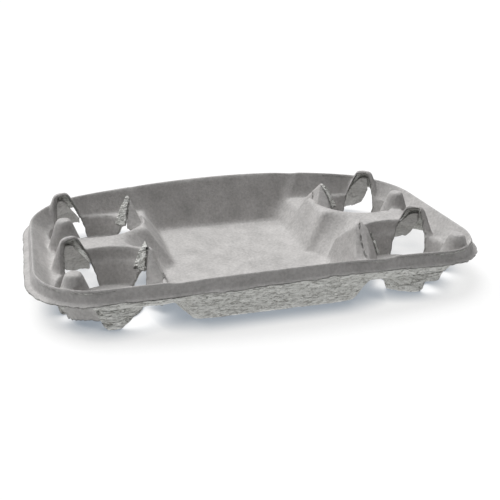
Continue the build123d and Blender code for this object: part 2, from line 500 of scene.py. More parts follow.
@dataclass
class Carrier:
    """The moulded sheet as a height over every point of its plan, in mm.

    The sheet's upper face is worked out once over triangulated points of the plan. The lower
    face is the upper one moved along its normals by the sheet's thickness. "over" is how far a
    slanted face's plane passes above the level that it meets, and "blend" how softly they meet.
    """

    sheet: float = 2.2
    rim: BowedOutline = BowedOutline(363.6, 233.0, 20.0, 47.0)
    crest: float = 45.3
    crest_end_drop: float = 9.8
    crest_tilt: float = 0.6
    crest_sway: float = 1.0
    crest_over: float = 0.5
    crest_blend: float = 1.6
    skirt: float = 8.8
    skirt_middle: float = 7.3
    skirt_flare: float = 14.0
    skirt_over: float = 0.6
    skirt_blend: float = 2.6
    lip: float = 2.8
    lip_end_gain: float = 2.6
    lip_droop: float = 0.9
    lip_end_droop: float = 0.25
    lip_inset: float = 0.6
    lip_fall: float = 12.0
    lip_blend: float = 0.8
    lip_thinning: float = 0.4
    deck: BowedOutline = BowedOutline(337.0, 199.0, 3.0, 42.0)
    deck_level: float = 21.5
    deck_blend: float = 3.0
    slope_top: BowedOutline = BowedOutline(382.0, 232.0, 16.0, 56.0)
    slope_top_level: float = 48.0
    slope_least: float = 4.0
    floor_level: float = 2.2
    basin_shift: float = 2.8
    basin_blend: float = 3.4
    floor_width: float = 184.0
    floor_blend: float = 3.6
    back_floor_length: float = 121.0
    back_slope: float = 35.0
    back_blend: float = 16.0
    end_slope: float = 26.0
    front_floor_length: float = 146.2
    front_slope: float = 20.7
    front_blend: float = 7.0
    front_corner: tuple[float, float] = (9.0, 28.0)
    front_corner_blend: float = 5.0
    front_back_edge: float = -14.0
    front_back_rise: float = 5.0
    halves_blend: float = 2.0
    valley: Valley = Valley((54.0, -11.0), 18.0, (85.0, 1.0), 21.0, 2.2, 35.2)
    valley_blend: float = 4.0
    divider_level: float = 33.0
    divider_half: float = 28.5
    divider_end: float = 159.0
    bank_inner: float = 62.0
    bank_outer: float = 104.0
    bank_back: float = 67.0
    bank_rise: float = 3.0
    bank_low: float = -9.0
    bank_blend: float = 3.0
    bank_inset: float = 2.4
    cup_x: float = 126.3
    cup_y: float = 55.0
    wall_radii: tuple[float, ...] = (36.5, 40.92, 41.5, 47.3)
    wall_levels: tuple[float, ...] = (2.2, 22.0, 22.3, 48.3)
    wall_rise: float = 4.48
    wall_blend: float = 3.0
    seam_radius: float = 41.5
    cup_reach: float = 60.0
    finger_blend: float = 2.0
    finger_clear: float = 0.6
    finger_gap: float = 4.0
    finger_aside: float = 40.0
    finger_ahead: float = 26.0
    cone_over: float = 0.8
    cone_blend: float = 4.0
    cone_foot_blend: float = 2.6
    hood_bearing: float = 55.5
    hood_reach: float = 45.5
    hood_level: float = 45.6
    hood_top_radius: float = 7.4
    hood_rise: float = 2.35
    hood_depth: float = 0.72
    post_x: float = 27.6
    post_y: float = -30.9
    post_level: float = 46.3
    post_top_radius: float = 5.6
    post_rise: float = 2.78
    window_levels: tuple[float, ...] = (0.0, 12.0, 21.0, 27.0, 33.0, 39.0, 42.5)
    window_left: tuple[float, ...] = (82.5, 80.0, 76.5, 74.0, 70.8, 66.8, 63.0)
    window_right: tuple[float, ...] = (36.5, 36.0, 39.0, 43.0, 45.5, 48.0, 51.0)
    window_top: float = 43.4
    window_inner: float = 35.6
    window_outer: float = 39.6
    window_outer_level: float = 6.0
    window_outer_lean: float = 0.222
    foot_bearing: float = 125.0
    foot_lean: float = 0.64
    torn_floor: float = 25.0
    floor_wander: float = 3.0
    torn_arc_radius: float = 42.0
    tear_pitch: float = 3.4
    tear_reach: float = 0.9
    wander_pitch: float = 14.0
    wander_shift: float = 500.0
    wander_reach: float = 0.6
    leaf: tuple[float, float] = (91.2, -38.6)
    leaf_low: tuple[float, float] = (-19.0, -24.0)
    leaf_high: tuple[float, float] = (22.0, 27.0)
    leaf_pitch: float = 1.1
    fill_half: tuple[float, float] = (160.0, 98.0)
    fill_pitch: float = 2.1
    fill_past_loops: float = 1.2
    fill_off_cones: float = 19.4
    fill_off_wall: tuple[float, float] = (33.4, 50.2)
    fill_off_leaf_low: tuple[float, float] = (-19.6, -24.6)
    fill_off_leaf_high: tuple[float, float] = (22.4, 27.2)
    fill_off_leaf_radius: float = 49.6
    loop_pitch: float = 2.4
    loop_offsets: tuple[float, ...] = (
        (9.0, 8.1, 7.2, 6.3, 5.4, 4.5, 3.6, 2.9, 2.4, 1.9, 1.4, 0.9, 0.4, 0.0, -0.4, -0.9)
        + (-1.6, -2.6, -4.0, -6.0, -8.4, -10.8, -13.2, -15.6, -18.0)
    )
    ring_step: float = 2.4
    ring_radii: tuple[float, ...] = (
        (34.2, 35.3, 36.1, 36.8, 37.6, 38.4, 39.2, 40.0, 40.92, 41.5, 42.3, 43.1)
        + (43.9, 44.7, 45.5, 46.3, 47.1, 48.0, 49.2)
    )
    rings_off_post: float = 18.4
    cones_off_wall: float = 49.8
    cone_step: float = 9.0
    cone_first: float = 1.0
    cone_last: float = 19.0
    cone_pitch: float = 1.2
    wire_grain: Grain = field(default_factory=lambda: Grain(11))
    tear_grain: Grain = field(default_factory=lambda: Grain(23))

    def crest_line(self, x: np.ndarray, y: np.ndarray) -> np.ndarray:
        """Height of the crest: crest less end drop times the square of the share of the length.

        The tray is a little out of true: a sine over the length lifts its right half and lowers
        its left half, and it leans to the back.

        Args:
            x: Positions along the length.
            y: Positions across the width.

        Returns:
            Heights in mm.
        """
        share = x / (self.rim.length / 2.0)
        sway = self.crest_sway * np.sin(np.pi * np.clip(share, -1.0, 1.0))
        lean = -2.0 * self.crest_tilt * y / self.rim.width
        return self.crest - self.crest_end_drop * share**2 + sway + lean

    def skirt_drop(self, x: np.ndarray) -> np.ndarray:
        """Height of the skirt below the crest, less in the middle of the length than at its ends."""
        share = np.clip(x / (self.rim.length / 2.0), -1.0, 1.0) ** 2
        return self.skirt_middle + (self.skirt - self.skirt_middle) * share

    def skirt_foot(self, x: np.ndarray) -> np.ndarray:
        """How far the skirt's foot stands outside the rim: its drop times the tangent of its flare."""
        return math.tan(math.radians(self.skirt_flare)) * self.skirt_drop(x)

    def end_share(self, x: np.ndarray) -> np.ndarray:
        """Nearly 0 along the long sides and 1 at the two ends: the share of length, to the sixth."""
        return np.clip(x / (self.rim.length / 2.0), -1.0, 1.0) ** 6

    def rim_height(self, x: np.ndarray, y: np.ndarray) -> np.ndarray:
        """Deck, inner slope, crest, skirt and lip, from the distances to their outlines.

        The slope rises in proportion between the deck's outline and the slope's top outline. The
        skirt falls at its flare outside the rim's outline, as far as the level of the lip, and
        the lip droops by a share of its distance past the skirt's foot.

        Args:
            x: Positions along the length.
            y: Positions across the width.

        Returns:
            Heights in mm.
        """
        past_deck = self.deck.distance(x, y)
        to_top = np.maximum(past_deck - self.slope_top.distance(x, y), self.slope_least)
        rise = self.slope_top_level - self.deck_level
        slope = self.deck_level + rise * past_deck / to_top
        floor = np.full_like(x, self.deck_level)
        level = soft_max(floor, slope, self.deck_blend)
        crest = self.crest_line(x, y)
        level = soft_min(level, crest + self.crest_over, self.crest_blend)
        fall = 1.0 / math.tan(math.radians(self.skirt_flare))
        past = self.rim.distance(x, y)
        level = soft_min(level, crest + self.skirt_over - fall * past, self.skirt_blend)
        drop = self.skirt_drop(x)
        out = np.maximum(past - drop / fall, 0.0)
        droop = self.lip_droop + (self.lip_end_droop - self.lip_droop) * self.end_share(x)
        lip = crest - drop + self.lip_fall * np.minimum(past + 1.0, 0.0) - droop * out
        return soft_max(level, lip, self.lip_blend)

    def basin_height(self, x: np.ndarray, y: np.ndarray) -> np.ndarray:
        """Basin: the lower of its narrow back half, its wide front half and the two valleys.

        Every wall is a plane that rises from its edge of the floor: height = floor + distance
        past the edge / tan(lean). The front half has its corners cut off slantwise.

        Args:
            x: Positions along the length, from the middle of the basin.
            y: Positions across the width.

        Returns:
            Heights in mm.
        """
        u = np.abs(x)
        steep = 1.0 / math.tan(math.radians(self.end_slope))
        ends = (np.abs(y) - self.floor_width / 2.0) * steep
        back = (u - self.back_floor_length / 2.0) / math.tan(math.radians(self.back_slope))
        back = soft_max(back, ends, self.back_blend)
        side = (u - self.front_floor_length / 2.0) / math.tan(math.radians(self.front_slope))
        inner, deep = self.front_corner
        turn = math.hypot(inner, deep)
        slant = (u - self.front_floor_length / 2.0 + inner) * deep
        slant = (slant - (y + self.floor_width / 2.0) * inner) / turn * steep
        front = soft_max(side, slant, self.front_corner_blend)
        front = soft_max(front, ends, self.front_blend)
        front = np.maximum(front, self.front_back_rise * (y - self.front_back_edge))
        floor = np.zeros_like(x)
        back = self.floor_level + soft_max(floor, back, self.floor_blend)
        front = self.floor_level + soft_max(floor, front, self.floor_blend)
        level = soft_min(back, front, self.halves_blend)
        level = soft_min(level, self.valley.height(u, y), self.valley_blend)
        return np.maximum(level, self.floor_level)

    def bank_height(self, x: np.ndarray, y: np.ndarray) -> np.ndarray:
        """The dividers between the cups and the banks beside the back cups, flat on top.

        Their plan is two rectangles a side, and the height rises steeply from their edges.

        Args:
            x: Positions along the length.
            y: Positions across the width.

        Returns:
            Heights in mm.
        """
        u = np.abs(x)
        ridge = np.minimum(self.divider_end - u, self.divider_half - np.abs(y))
        side = np.minimum(np.minimum(self.bank_back - y, self.bank_outer - u), y)
        inside = np.minimum(np.maximum(ridge, side), u - self.bank_inner)
        bank = self.deck_level + np.clip(self.bank_rise * inside, self.bank_low, None)
        return soft_min(bank, np.full_like(x, self.divider_level), self.bank_blend)

    def wall_height(self, radius: np.ndarray) -> np.ndarray:
        """Height of a cup well's wall, by its profile and at a steady rise past its last radius.

        Args:
            radius: Distances from the well's centre, in mm.

        Returns:
            Heights in mm.
        """
        last = self.wall_radii[-1]
        over = self.wall_levels[-1] + self.wall_rise * (radius - last)
        return np.where(radius > last, over, np.interp(radius, self.wall_radii, self.wall_levels))

    def hood_height(self, u: np.ndarray, v: np.ndarray) -> np.ndarray:
        """Hood behind a cup: a cone, flattened away from the cup, with a level top.

        Args:
            u: Distance from the cup's centre towards the end of the tray.
            v: Distance from the cup's centre towards the back.

        Returns:
            Heights in mm.
        """
        turn = math.radians(self.hood_bearing)
        out = u * math.cos(turn) + v * math.sin(turn) - self.hood_reach
        side = -u * math.sin(turn) + v * math.cos(turn)
        away = np.hypot(out / self.hood_depth, side)
        cone = self.hood_level + self.cone_over - self.hood_rise * (away - self.hood_top_radius)
        return soft_min(cone, np.full_like(u, self.hood_level), self.cone_blend)

    def post_height(self, u: np.ndarray, v: np.ndarray) -> np.ndarray:
        """Closed cone on the outer front corner of a cup, with a small level top.

        Args:
            u: Distance from the cup's centre towards the end of the tray.
            v: Distance from the cup's centre towards the back.

        Returns:
            Heights in mm.
        """
        away = np.hypot(u - self.post_x, v - self.post_y)
        cone = self.post_level + self.cone_over - self.post_rise * (away - self.post_top_radius)
        return soft_min(cone, np.full_like(u, self.post_level), self.cone_blend)

    def on_finger(self, corner: Corner, x: np.ndarray, y: np.ndarray) -> tuple[np.ndarray, np.ndarray]:
        """A place on the tray as the place beside the front right cup that a finger is given for."""
        side, row = corner.value
        return x * side + side * self.basin_shift, y - (row + 1.0) * self.cup_y

    def finger_height(self, corner: Corner, x: np.ndarray, y: np.ndarray) -> np.ndarray:
        """Height of one corner's finger."""
        return FINGERS[corner].height(*self.on_finger(corner, x, y))

    def height(self, x: np.ndarray, y: np.ndarray) -> np.ndarray:
        """Height of the upper face of the sheet, without the part of the fingers over a well.

        Masses are added with soft_max and open spaces are taken away with soft_min, in the order
        rim, banks, hoods, basin, wells, fingers, posts.

        Args:
            x: Positions along the length.
            y: Positions across the width.

        Returns:
            Heights in mm.
        """
        level = self.rim_height(x, y)
        inside = self.rim.distance(x, y) < -self.bank_inset
        level = np.where(inside, soft_max(level, self.bank_height(x, y), self.bank_blend), level)
        du = np.abs(x) - self.cup_x
        for row in ROWS:
            hood = self.hood_height(du, y - row * self.cup_y)
            level = soft_max(level, hood, self.cone_foot_blend)
        level = soft_min(level, self.basin_height(x + self.basin_shift, y), self.basin_blend)
        for row in ROWS:
            dv = y - row * self.cup_y
            radius = np.hypot(du, dv)
            level = soft_min(level, self.wall_height(radius), self.wall_blend)
            right = self.finger_height(Corner((1.0, row)), x, y)
            finger = np.where(x > 0.0, right, self.finger_height(Corner((-1.0, row)), x, y))
            held = np.where(radius < self.seam_radius - NEAR_SEAM, FAR_BELOW, finger)
            level = soft_max(level, held, self.finger_blend)
            level = soft_max(level, self.post_height(du, dv), self.cone_foot_blend)
        return level

    def plan_points(self) -> tuple[np.ndarray, np.ndarray]:
        """Points of the plan: rings and loops that follow the forms, and a lattice between them.

        The rings and loops are joined into edges that the triangles have to keep.

        Returns:
            Points as an (n, 2) array, in mm, and edges as (k, 2) indices.
        """
        net = Net()
        for offset in self.loop_offsets:
            net.add(self.rim.loop(offset, self.loop_pitch, self.rim.radius)[None], closed=True)
        rings = np.array(self.ring_radii)
        ring = unit_ring(self.ring_step)
        hub = unit_ring(self.cone_step)
        reach = np.arange(self.cone_first, self.cone_last, self.cone_pitch)
        turn = math.radians(self.hood_bearing)
        hood = np.array([math.cos(turn), math.sin(turn)]) * self.hood_reach
        leaf = lattice(self.leaf_low, self.leaf_high, self.leaf_pitch)
        for side in (-1.0, 1.0):
            turned = np.array([side, 1.0])
            for row in ROWS:
                centre = np.array([self.cup_x, row * self.cup_y])
                post = centre + np.array([self.post_x, self.post_y])
                wall = centre + ring[None] * rings[:, None, None]
                off_post = np.hypot(*(wall - post).T).T > self.rings_off_post
                net.add(wall * turned, off_post, closed=True)
                cone = post + hub[None] * reach[:, None, None]
                net.add(cone * turned, None, closed=True)
                arch = centre + hood + hub[None] * reach[:, None, None]
                off_wall = np.hypot(*(arch - centre).T).T > self.cones_off_wall
                net.add(arch * turned, off_wall, closed=True)
                fine = (self.leaf_place(row) + leaf)[None]
                off_wall = np.hypot(*(fine - centre).T).T > self.cones_off_wall
                net.add(fine * turned, off_wall)
        net.add(self.fill_points(hood)[None])
        return net.joined()

    def leaf_place(self, row: float) -> np.ndarray:
        """Middle of the finer lattice under the right finger of a row."""
        return np.array([self.leaf[0], self.leaf[1] + (row + 1.0) * self.cup_y])

    def fill_points(self, hood: np.ndarray) -> np.ndarray:
        """Lattice over the plan, left out where the loops, rings and finer lattices are.

        Args:
            hood: Middle of a hood, from its cup's centre.

        Returns:
            Points as an (n, 2) array, in mm.
        """
        last = 0.1
        high = (self.fill_half[0] + last, self.fill_half[1] + last)
        fill = lattice((-self.fill_half[0], -self.fill_half[1]), high, self.fill_pitch)
        inside_loops = self.loop_offsets[-1] - self.fill_past_loops
        free = self.rim.distance(fill[:, 0], fill[:, 1]) < inside_loops
        u = np.abs(fill[:, 0])
        for row in ROWS:
            du = u - self.cup_x
            dv = fill[:, 1] - row * self.cup_y
            radius = np.hypot(du, dv)
            free &= (radius < self.fill_off_wall[0]) | (radius > self.fill_off_wall[1])
            free &= np.hypot(du - self.post_x, dv - self.post_y) > self.fill_off_cones
            free &= np.hypot(du - hood[0], dv - hood[1]) > self.fill_off_cones
            fx, fy = (np.stack([u, fill[:, 1]], axis=1) - self.leaf_place(row)).T
            off_leaf = (fx < self.fill_off_leaf_low[0]) | (fx > self.fill_off_leaf_high[0])
            off_leaf |= (fy < self.fill_off_leaf_low[1]) | (fy > self.fill_off_leaf_high[1])
            free &= off_leaf | (radius < self.fill_off_leaf_radius)
        return fill[free]

    def wall_bearing(self, x: np.ndarray, y: np.ndarray, row: float) -> tuple[np.ndarray, np.ndarray]:
        """Distance from a cup's centre and bearing round it, in degrees, as on the right side.

        Args:
            x: Positions along the length.
            y: Positions across the width.
            row: -1 for the front row and 1 for the back.

        Returns:
            Distances in mm and bearings from 0 to 360.
        """
        du = np.abs(x) - self.cup_x
        dv = y - row * self.cup_y
        return np.hypot(du, dv), np.degrees(np.arctan2(dv, du)) % 360.0

    def kept(self, x: np.ndarray, y: np.ndarray, z: np.ndarray) -> np.ndarray:
        """Distance inside the kept sheet, negative in the torn openings and past the lip.

        An opening in a wall lies between two bearings that depend on the level, and its edge is
        moved by noise of a few millimetres' pitch, as pulp tears.

        Args:
            x: Positions along the length.
            y: Positions across the width.
            z: Heights of the upper face.

        Returns:
            Distances in mm.
        """
        points = np.stack([x, y, z], axis=1)
        tear = self.tear_grain.rough(points, self.tear_pitch, 3)
        wander = self.tear_grain.at(points + self.wander_shift, self.wander_pitch)
        edge = self.skirt_foot(x) + self.lip + self.lip_end_gain * self.end_share(x)
        kept = edge - self.lip_inset + self.tear_reach * tear + self.wander_reach * wander
        kept = kept - self.rim.distance(x, y)
        for corner in Corner:
            side, row = corner.value
            radius, _ = self.wall_bearing(x, y, row)
            here = (x * side > 0.0) & (radius < self.cup_reach)
            under = self.finger_height(corner, x, y) > self.deck_level + self.finger_clear
            torn = np.maximum(self.torn_window(x, y, z, row), self.torn_foot(x, y, z, corner, under))
            torn = np.maximum(torn, self.torn_low(x, y, z, corner, wander))
            seam = np.abs(radius - self.seam_radius) < ON_SEAM
            whole_seam = np.minimum(torn, 0.0)
            torn = np.where(seam & under, whole_seam, torn + self.tear_reach * tear)
            kept = np.where(here, np.minimum(kept, -torn), kept)
        return np.where(np.abs(kept) < ON_EDGE, 0.0, kept)

    def torn_window(self, x: np.ndarray, y: np.ndarray, z: np.ndarray, row: float) -> np.ndarray:
        """How far inside a hood's torn window a point lies, between its left and right bearings.

        Args:
            x: Positions along the length.
            y: Positions across the width.
            z: Heights of the upper face.
            row: -1 for the front row and 1 for the back.

        Returns:
            Distances in mm, negative outside.
        """
        radius, bearing = self.wall_bearing(x, y, row)
        left = np.interp(z, self.window_levels, self.window_left)
        right = np.interp(z, self.window_levels, self.window_right)
        window = np.minimum(left - bearing, bearing - right) * self.arc_length()
        outer = self.window_outer + self.window_outer_lean * (z - self.window_outer_level)
        on_wall = np.minimum(radius - self.window_inner, outer - radius)
        return np.minimum(window, np.minimum(on_wall * WALL_STEEPNESS, self.window_top - z))

    def arc_length(self) -> float:
        """Length of one degree of a well's wall."""
        return np.radians(1.0) * self.torn_arc_radius

    def torn_foot(
        self, x: np.ndarray, y: np.ndarray, z: np.ndarray, corner: Corner, under: np.ndarray
    ) -> np.ndarray:
        """How far inside the torn opening at a finger's foot a point lies.

        Args:
            x: Positions along the length.
            y: Positions across the width.
            z: Heights of the upper face.
            corner: The cup.
            under: Whether the finger stands over the point, where the opening has no ceiling.

        Returns:
            Distances in mm, negative outside.
        """
        torn_well = TORN_WELLS[corner]
        radius, bearing = self.wall_bearing(x, y, corner.value[1])
        start = self.foot_bearing + self.foot_lean * z
        end = np.interp(z, torn_well.foot_levels, torn_well.foot_bearings)
        foot = np.minimum(bearing - start, end - bearing) * self.arc_length()
        ceiling = np.where(under, FAR_ABOVE, self.deck_level - 1.0 - z)
        inner = np.minimum(radius - self.torn_floor, self.seam_radius - radius) * WALL_STEEPNESS
        return np.minimum(np.minimum(foot, ceiling), inner)

    def torn_low(
        self, x: np.ndarray, y: np.ndarray, z: np.ndarray, corner: Corner, wander: np.ndarray
    ) -> np.ndarray:
        """How far below a well wall's torn lower edge a point lies.

        Args:
            x: Positions along the length.
            y: Positions across the width.
            z: Heights of the upper face.
            corner: The cup.
            wander: Noise that moves the floor's torn edge.

        Returns:
            Distances in mm, negative above it.
        """
        torn_well = TORN_WELLS[corner]
        radius, bearing = self.wall_bearing(x, y, corner.value[1])
        low = np.interp(bearing, torn_well.low_bearings, torn_well.low_levels) - z
        hub = radius - self.torn_floor - self.floor_wander * wander
        return np.minimum(low, np.minimum(hub, (self.seam_radius - radius) * WALL_STEEPNESS))

    def thinness(self, points: np.ndarray) -> np.ndarray:
        """Share of the full thickness at each point, which is less on the lip.

        Args:
            points: Points as an (n, 3) array, in mm.

        Returns:
            Shares up to 1.
        """
        past = self.rim.distance(points[:, 0], points[:, 1])
        lip = smooth_step(-1.0, 1.0, past - self.skirt_foot(points[:, 0]))
        return 1.0 - self.lip_thinning * lip

    def torn_share(self, points: np.ndarray) -> np.ndarray:
        """How torn and felted the upper face is: 1 on the cup side of the fingers, 0 elsewhere.

        Args:
            points: Points as an (n, 3) array, in mm.

        Returns:
            Shares from 0 to 1.
        """
        share = np.zeros(len(points))
        for corner in Corner:
            side, row = corner.value
            finger = FINGERS[corner]
            place = self.on_finger(corner, points[:, 0], points[:, 1])
            towards, _ = finger.across(*place)
            past = finger.past_crack(*place)
            radius, _ = self.wall_bearing(points[:, 0], points[:, 1], row)
            on_post = np.abs(points[:, 2] - finger.height(*place)) < self.finger_gap
            here = (points[:, 0] * side > 0.0) & (radius < self.seam_radius) & on_post
            here &= (past < self.finger_aside) & (towards < self.finger_ahead)
            near = np.minimum(smooth_step(-1.0, 1.0, past), smooth_step(-1.0, 3.0, towards))
            share = np.where(here, np.maximum(share, near), share)
        return share


@dataclass(frozen=True)
class Tongue:
    """A torn strip of pulp that hangs inside a hood, behind its opening.

    Its lower and upper edges are given as levels over bearings round the cup, in degrees from the
    end of the tray towards its back, and its distance from the cup's centre as radii over levels,
    in mm. Its smoother and its rougher face are shown as felted as the two felt values say, and
    the rougher one is where the shell's face attribute is over rough_from. On the strips in the
    hoods the felt values also lighten the shaded strip, as painted light.
    """

    bearings: tuple[float, ...] = (51.5, 54.0, 57.0, 62.0, 70.0, 79.0)
    lower: tuple[float, ...] = (25.0, 19.0, 15.0, 13.0, 12.0, 10.5)
    upper: tuple[float, ...] = (39.5, 39.5, 39.5, 37.0, 27.5, 15.5)
    levels: tuple[float, ...] = (0.0, 15.0, 24.0, 33.0, 40.0)
    radii: tuple[float, ...] = (56.5, 55.8, 55.0, 51.6, 49.0)
    across: int = 34
    upward: int = 26
    tear_reach: float = 1.5
    tear_pitch: float = 3.2
    tear_stretch: float = 0.9
    fold_depth: float = 0.5
    fold_pitch: float = 3.0
    smooth_felt_and_painted_light: float = 0.8
    rough_felt_and_painted_light: float = 0.3
    rough_from: float = 0.9

    def surface(self, centre: np.ndarray, side: float, tear: Grain) -> tuple[np.ndarray, np.ndarray]:
        """Grid over bearing and level: level = lower + (upper - lower) v, at the radius of the level.

        The lower edge is moved by noise as pulp tears, and the radius by shallow upright folds.

        Args:
            centre: Centre of the cup.
            side: -1 on the left side of the tray and 1 on the right.
            tear: Noise of the torn edge.

        Returns:
            Points in mm and triangles that face away from the cup.
        """
        turn = np.linspace(self.bearings[0], self.bearings[-1], self.across)
        share = np.linspace(0.0, 1.0, self.upward)
        edge = np.interp(turn, self.bearings, self.lower)
        nought = np.zeros(self.across)
        place = np.append(centre, 0.0)
        along = np.stack([turn * self.tear_stretch, nought, nought], axis=1) + place
        edge = edge + self.tear_reach * tear.rough(along, self.tear_pitch, 3)
        top = np.interp(turn, self.bearings, self.upper)
        level = edge[None, :] + (top - edge)[None, :] * share[:, None]
        radius = np.interp(level, self.levels, self.radii)
        folds = np.stack([turn, nought, nought], axis=1) + place
        radius = radius + self.fold_depth * tear.at(folds, self.fold_pitch)[None, :]
        lean = np.radians(turn)[None, :]
        x = (abs(centre[0]) + radius * np.cos(lean)) * side
        y = centre[1] + radius * np.sin(lean)
        points = np.stack([x, y, level], axis=2).reshape(-1, 3)
        return points, grid_triangles(self.upward, self.across, side < 0.0)


def grid_triangles(rows: int, columns: int, turned: bool) -> np.ndarray:
    """Two triangles for each cell of a grid of points.

    Args:
        rows: Number of rows.
        columns: Number of columns.
        turned: Whether the triangles face the other way.

    Returns:
        Triangles as (m, 3) indices.
    """
    index = np.arange(rows * columns).reshape(rows, columns)
    a, b = index[:-1, :-1].ravel(), index[:-1, 1:].ravel()
    c, d = index[1:, 1:].ravel(), index[1:, :-1].ravel()
    faces = np.concatenate([np.stack([a, b, c], axis=1), np.stack([a, c, d], axis=1)])
    return faces[:, ::-1] if turned else faces


def triangulate(
    points: np.ndarray, edges: np.ndarray | None = None
) -> tuple[np.ndarray, np.ndarray]:
    """Delaunay triangles over points of a plan, wound to face upwards.

    Args:
        points: Points as an (n, 2) array.
        edges: Edges that the triangles keep, as (k, 2) indices, or None.

    Returns:
        The points and the triangles as (m, 3) indices.
    """
    held = [] if edges is None else edges.tolist()
    found = delaunay_2d_cdt([Vector(p) for p in points.tolist()], held, [], 0, SAME_PLACE)
    plan = np.array([tuple(v) for v in found[0]])
    faces = np.array(found[2])
    a, b, c = (plan[faces[:, k]] for k in range(3))
    area = (b[:, 0] - a[:, 0]) * (c[:, 1] - a[:, 1]) - (b[:, 1] - a[:, 1]) * (c[:, 0] - a[:, 0])
    faces = np.where(area[:, None] < 0.0, faces[:, ::-1], faces)
    return plan, faces[np.abs(area) > SLIVER]


def cut(
    plan: np.ndarray, faces: np.ndarray, kept: np.ndarray
) -> tuple[np.ndarray, np.ndarray]:
    """Cuts triangles along the line where kept is 0 and leaves the side where it is positive.

    On an edge from a to b the new point lies at the share kept(a) / (kept(a) - kept(b)).

    Args:
        plan: Points as an (n, 2) array.
        faces: Triangles as (m, 3) indices.
        kept: One value a point.

    Returns:
        The points that remain and their triangles.
    """
    good = kept >= 0.0
    count = good[faces].sum(axis=1)
    whole = faces[count == 3]
    parts = [whole]
    points = [plan]
    base = len(plan)
    for wanted in (1, 2):
        mixed = faces[count == wanted]
        lone = good[mixed] if wanted == 1 else ~good[mixed]
        first = np.argmax(lone, axis=1)
        rows = np.arange(len(mixed))
        a = mixed[rows, first]
        b = mixed[rows, (first + 1) % 3]
        c = mixed[rows, (first + 2) % 3]
        share_b = np.clip(kept[a] / (kept[a] - kept[b]), CUT_MARGIN, 1.0 - CUT_MARGIN)[:, None]
        share_c = np.clip(kept[a] / (kept[a] - kept[c]), CUT_MARGIN, 1.0 - CUT_MARGIN)[:, None]
        points.append(plan[a] + share_b * (plan[b] - plan[a]))
        points.append(plan[a] + share_c * (plan[c] - plan[a]))
        on_b = base + rows
        on_c = base + len(mixed) + rows
        base += 2 * len(mixed)
        if wanted == 1:
            parts.append(np.stack([a, on_b, on_c], axis=1))
        else:
            parts.append(np.stack([on_b, b, c], axis=1))
            parts.append(np.stack([on_b, c, on_c], axis=1))
    return weld(np.concatenate(points), np.concatenate(parts))


def weld(points: np.ndarray, faces: np.ndarray) -> tuple[np.ndarray, np.ndarray]:
    """Joins points that lie on each other and drops those that no face uses.

    Args:
        points: Points as an (n, 2) or (n, 3) array, in mm.
        faces: Triangles as (m, 3) indices.

    Returns:
        The points that remain and their triangles.
    """
    _, first, index = np.unique(
        np.round(points, SAME_DECIMALS), axis=0, return_index=True, return_inverse=True
    )
    faces = index.reshape(-1)[faces]
    points = points[first]
    real = (
        (faces[:, 0] != faces[:, 1]) & (faces[:, 1] != faces[:, 2]) & (faces[:, 2] != faces[:, 0])
    )
    faces = faces[real]
    used, index = np.unique(faces, return_inverse=True)
    return points[used], index.reshape(-1, 3)


def point_normals(points: np.ndarray, faces: np.ndarray) -> np.ndarray:
    """Normal at each point: the sum of the cross products of the faces round it, made a unit.

    Args:
        points: Points as an (n, 3) array.
        faces: Triangles as (m, 3) indices.

    Returns:
        Unit normals as an (n, 3) array.
    """
    a, b, c = (points[faces[:, k]] for k in range(3))
    facing = np.cross(b - a, c - a)
    facing /= np.maximum(np.linalg.norm(facing, axis=1), LEAST_LENGTH)[:, None]
    total = np.zeros_like(points)
    for k in range(3):
        np.add.at(total, faces[:, k], facing)
    return total / np.maximum(np.linalg.norm(total, axis=1), LEAST_LENGTH)[:, None]


def open_edges(faces: np.ndarray) -> np.ndarray:
    """Edges that only one face uses, each in the direction of that face.

    Args:
        faces: Triangles as (m, 3) indices.

    Returns:
        Edges as (k, 2) indices.
    """
    edges = np.concatenate([faces[:, [0, 1]], faces[:, [1, 2]], faces[:, [2, 0]]])
    low = np.sort(edges, axis=1)
    _, index, count = np.unique(low, axis=0, return_inverse=True, return_counts=True)
    return edges[count[index.reshape(-1)] == 1]


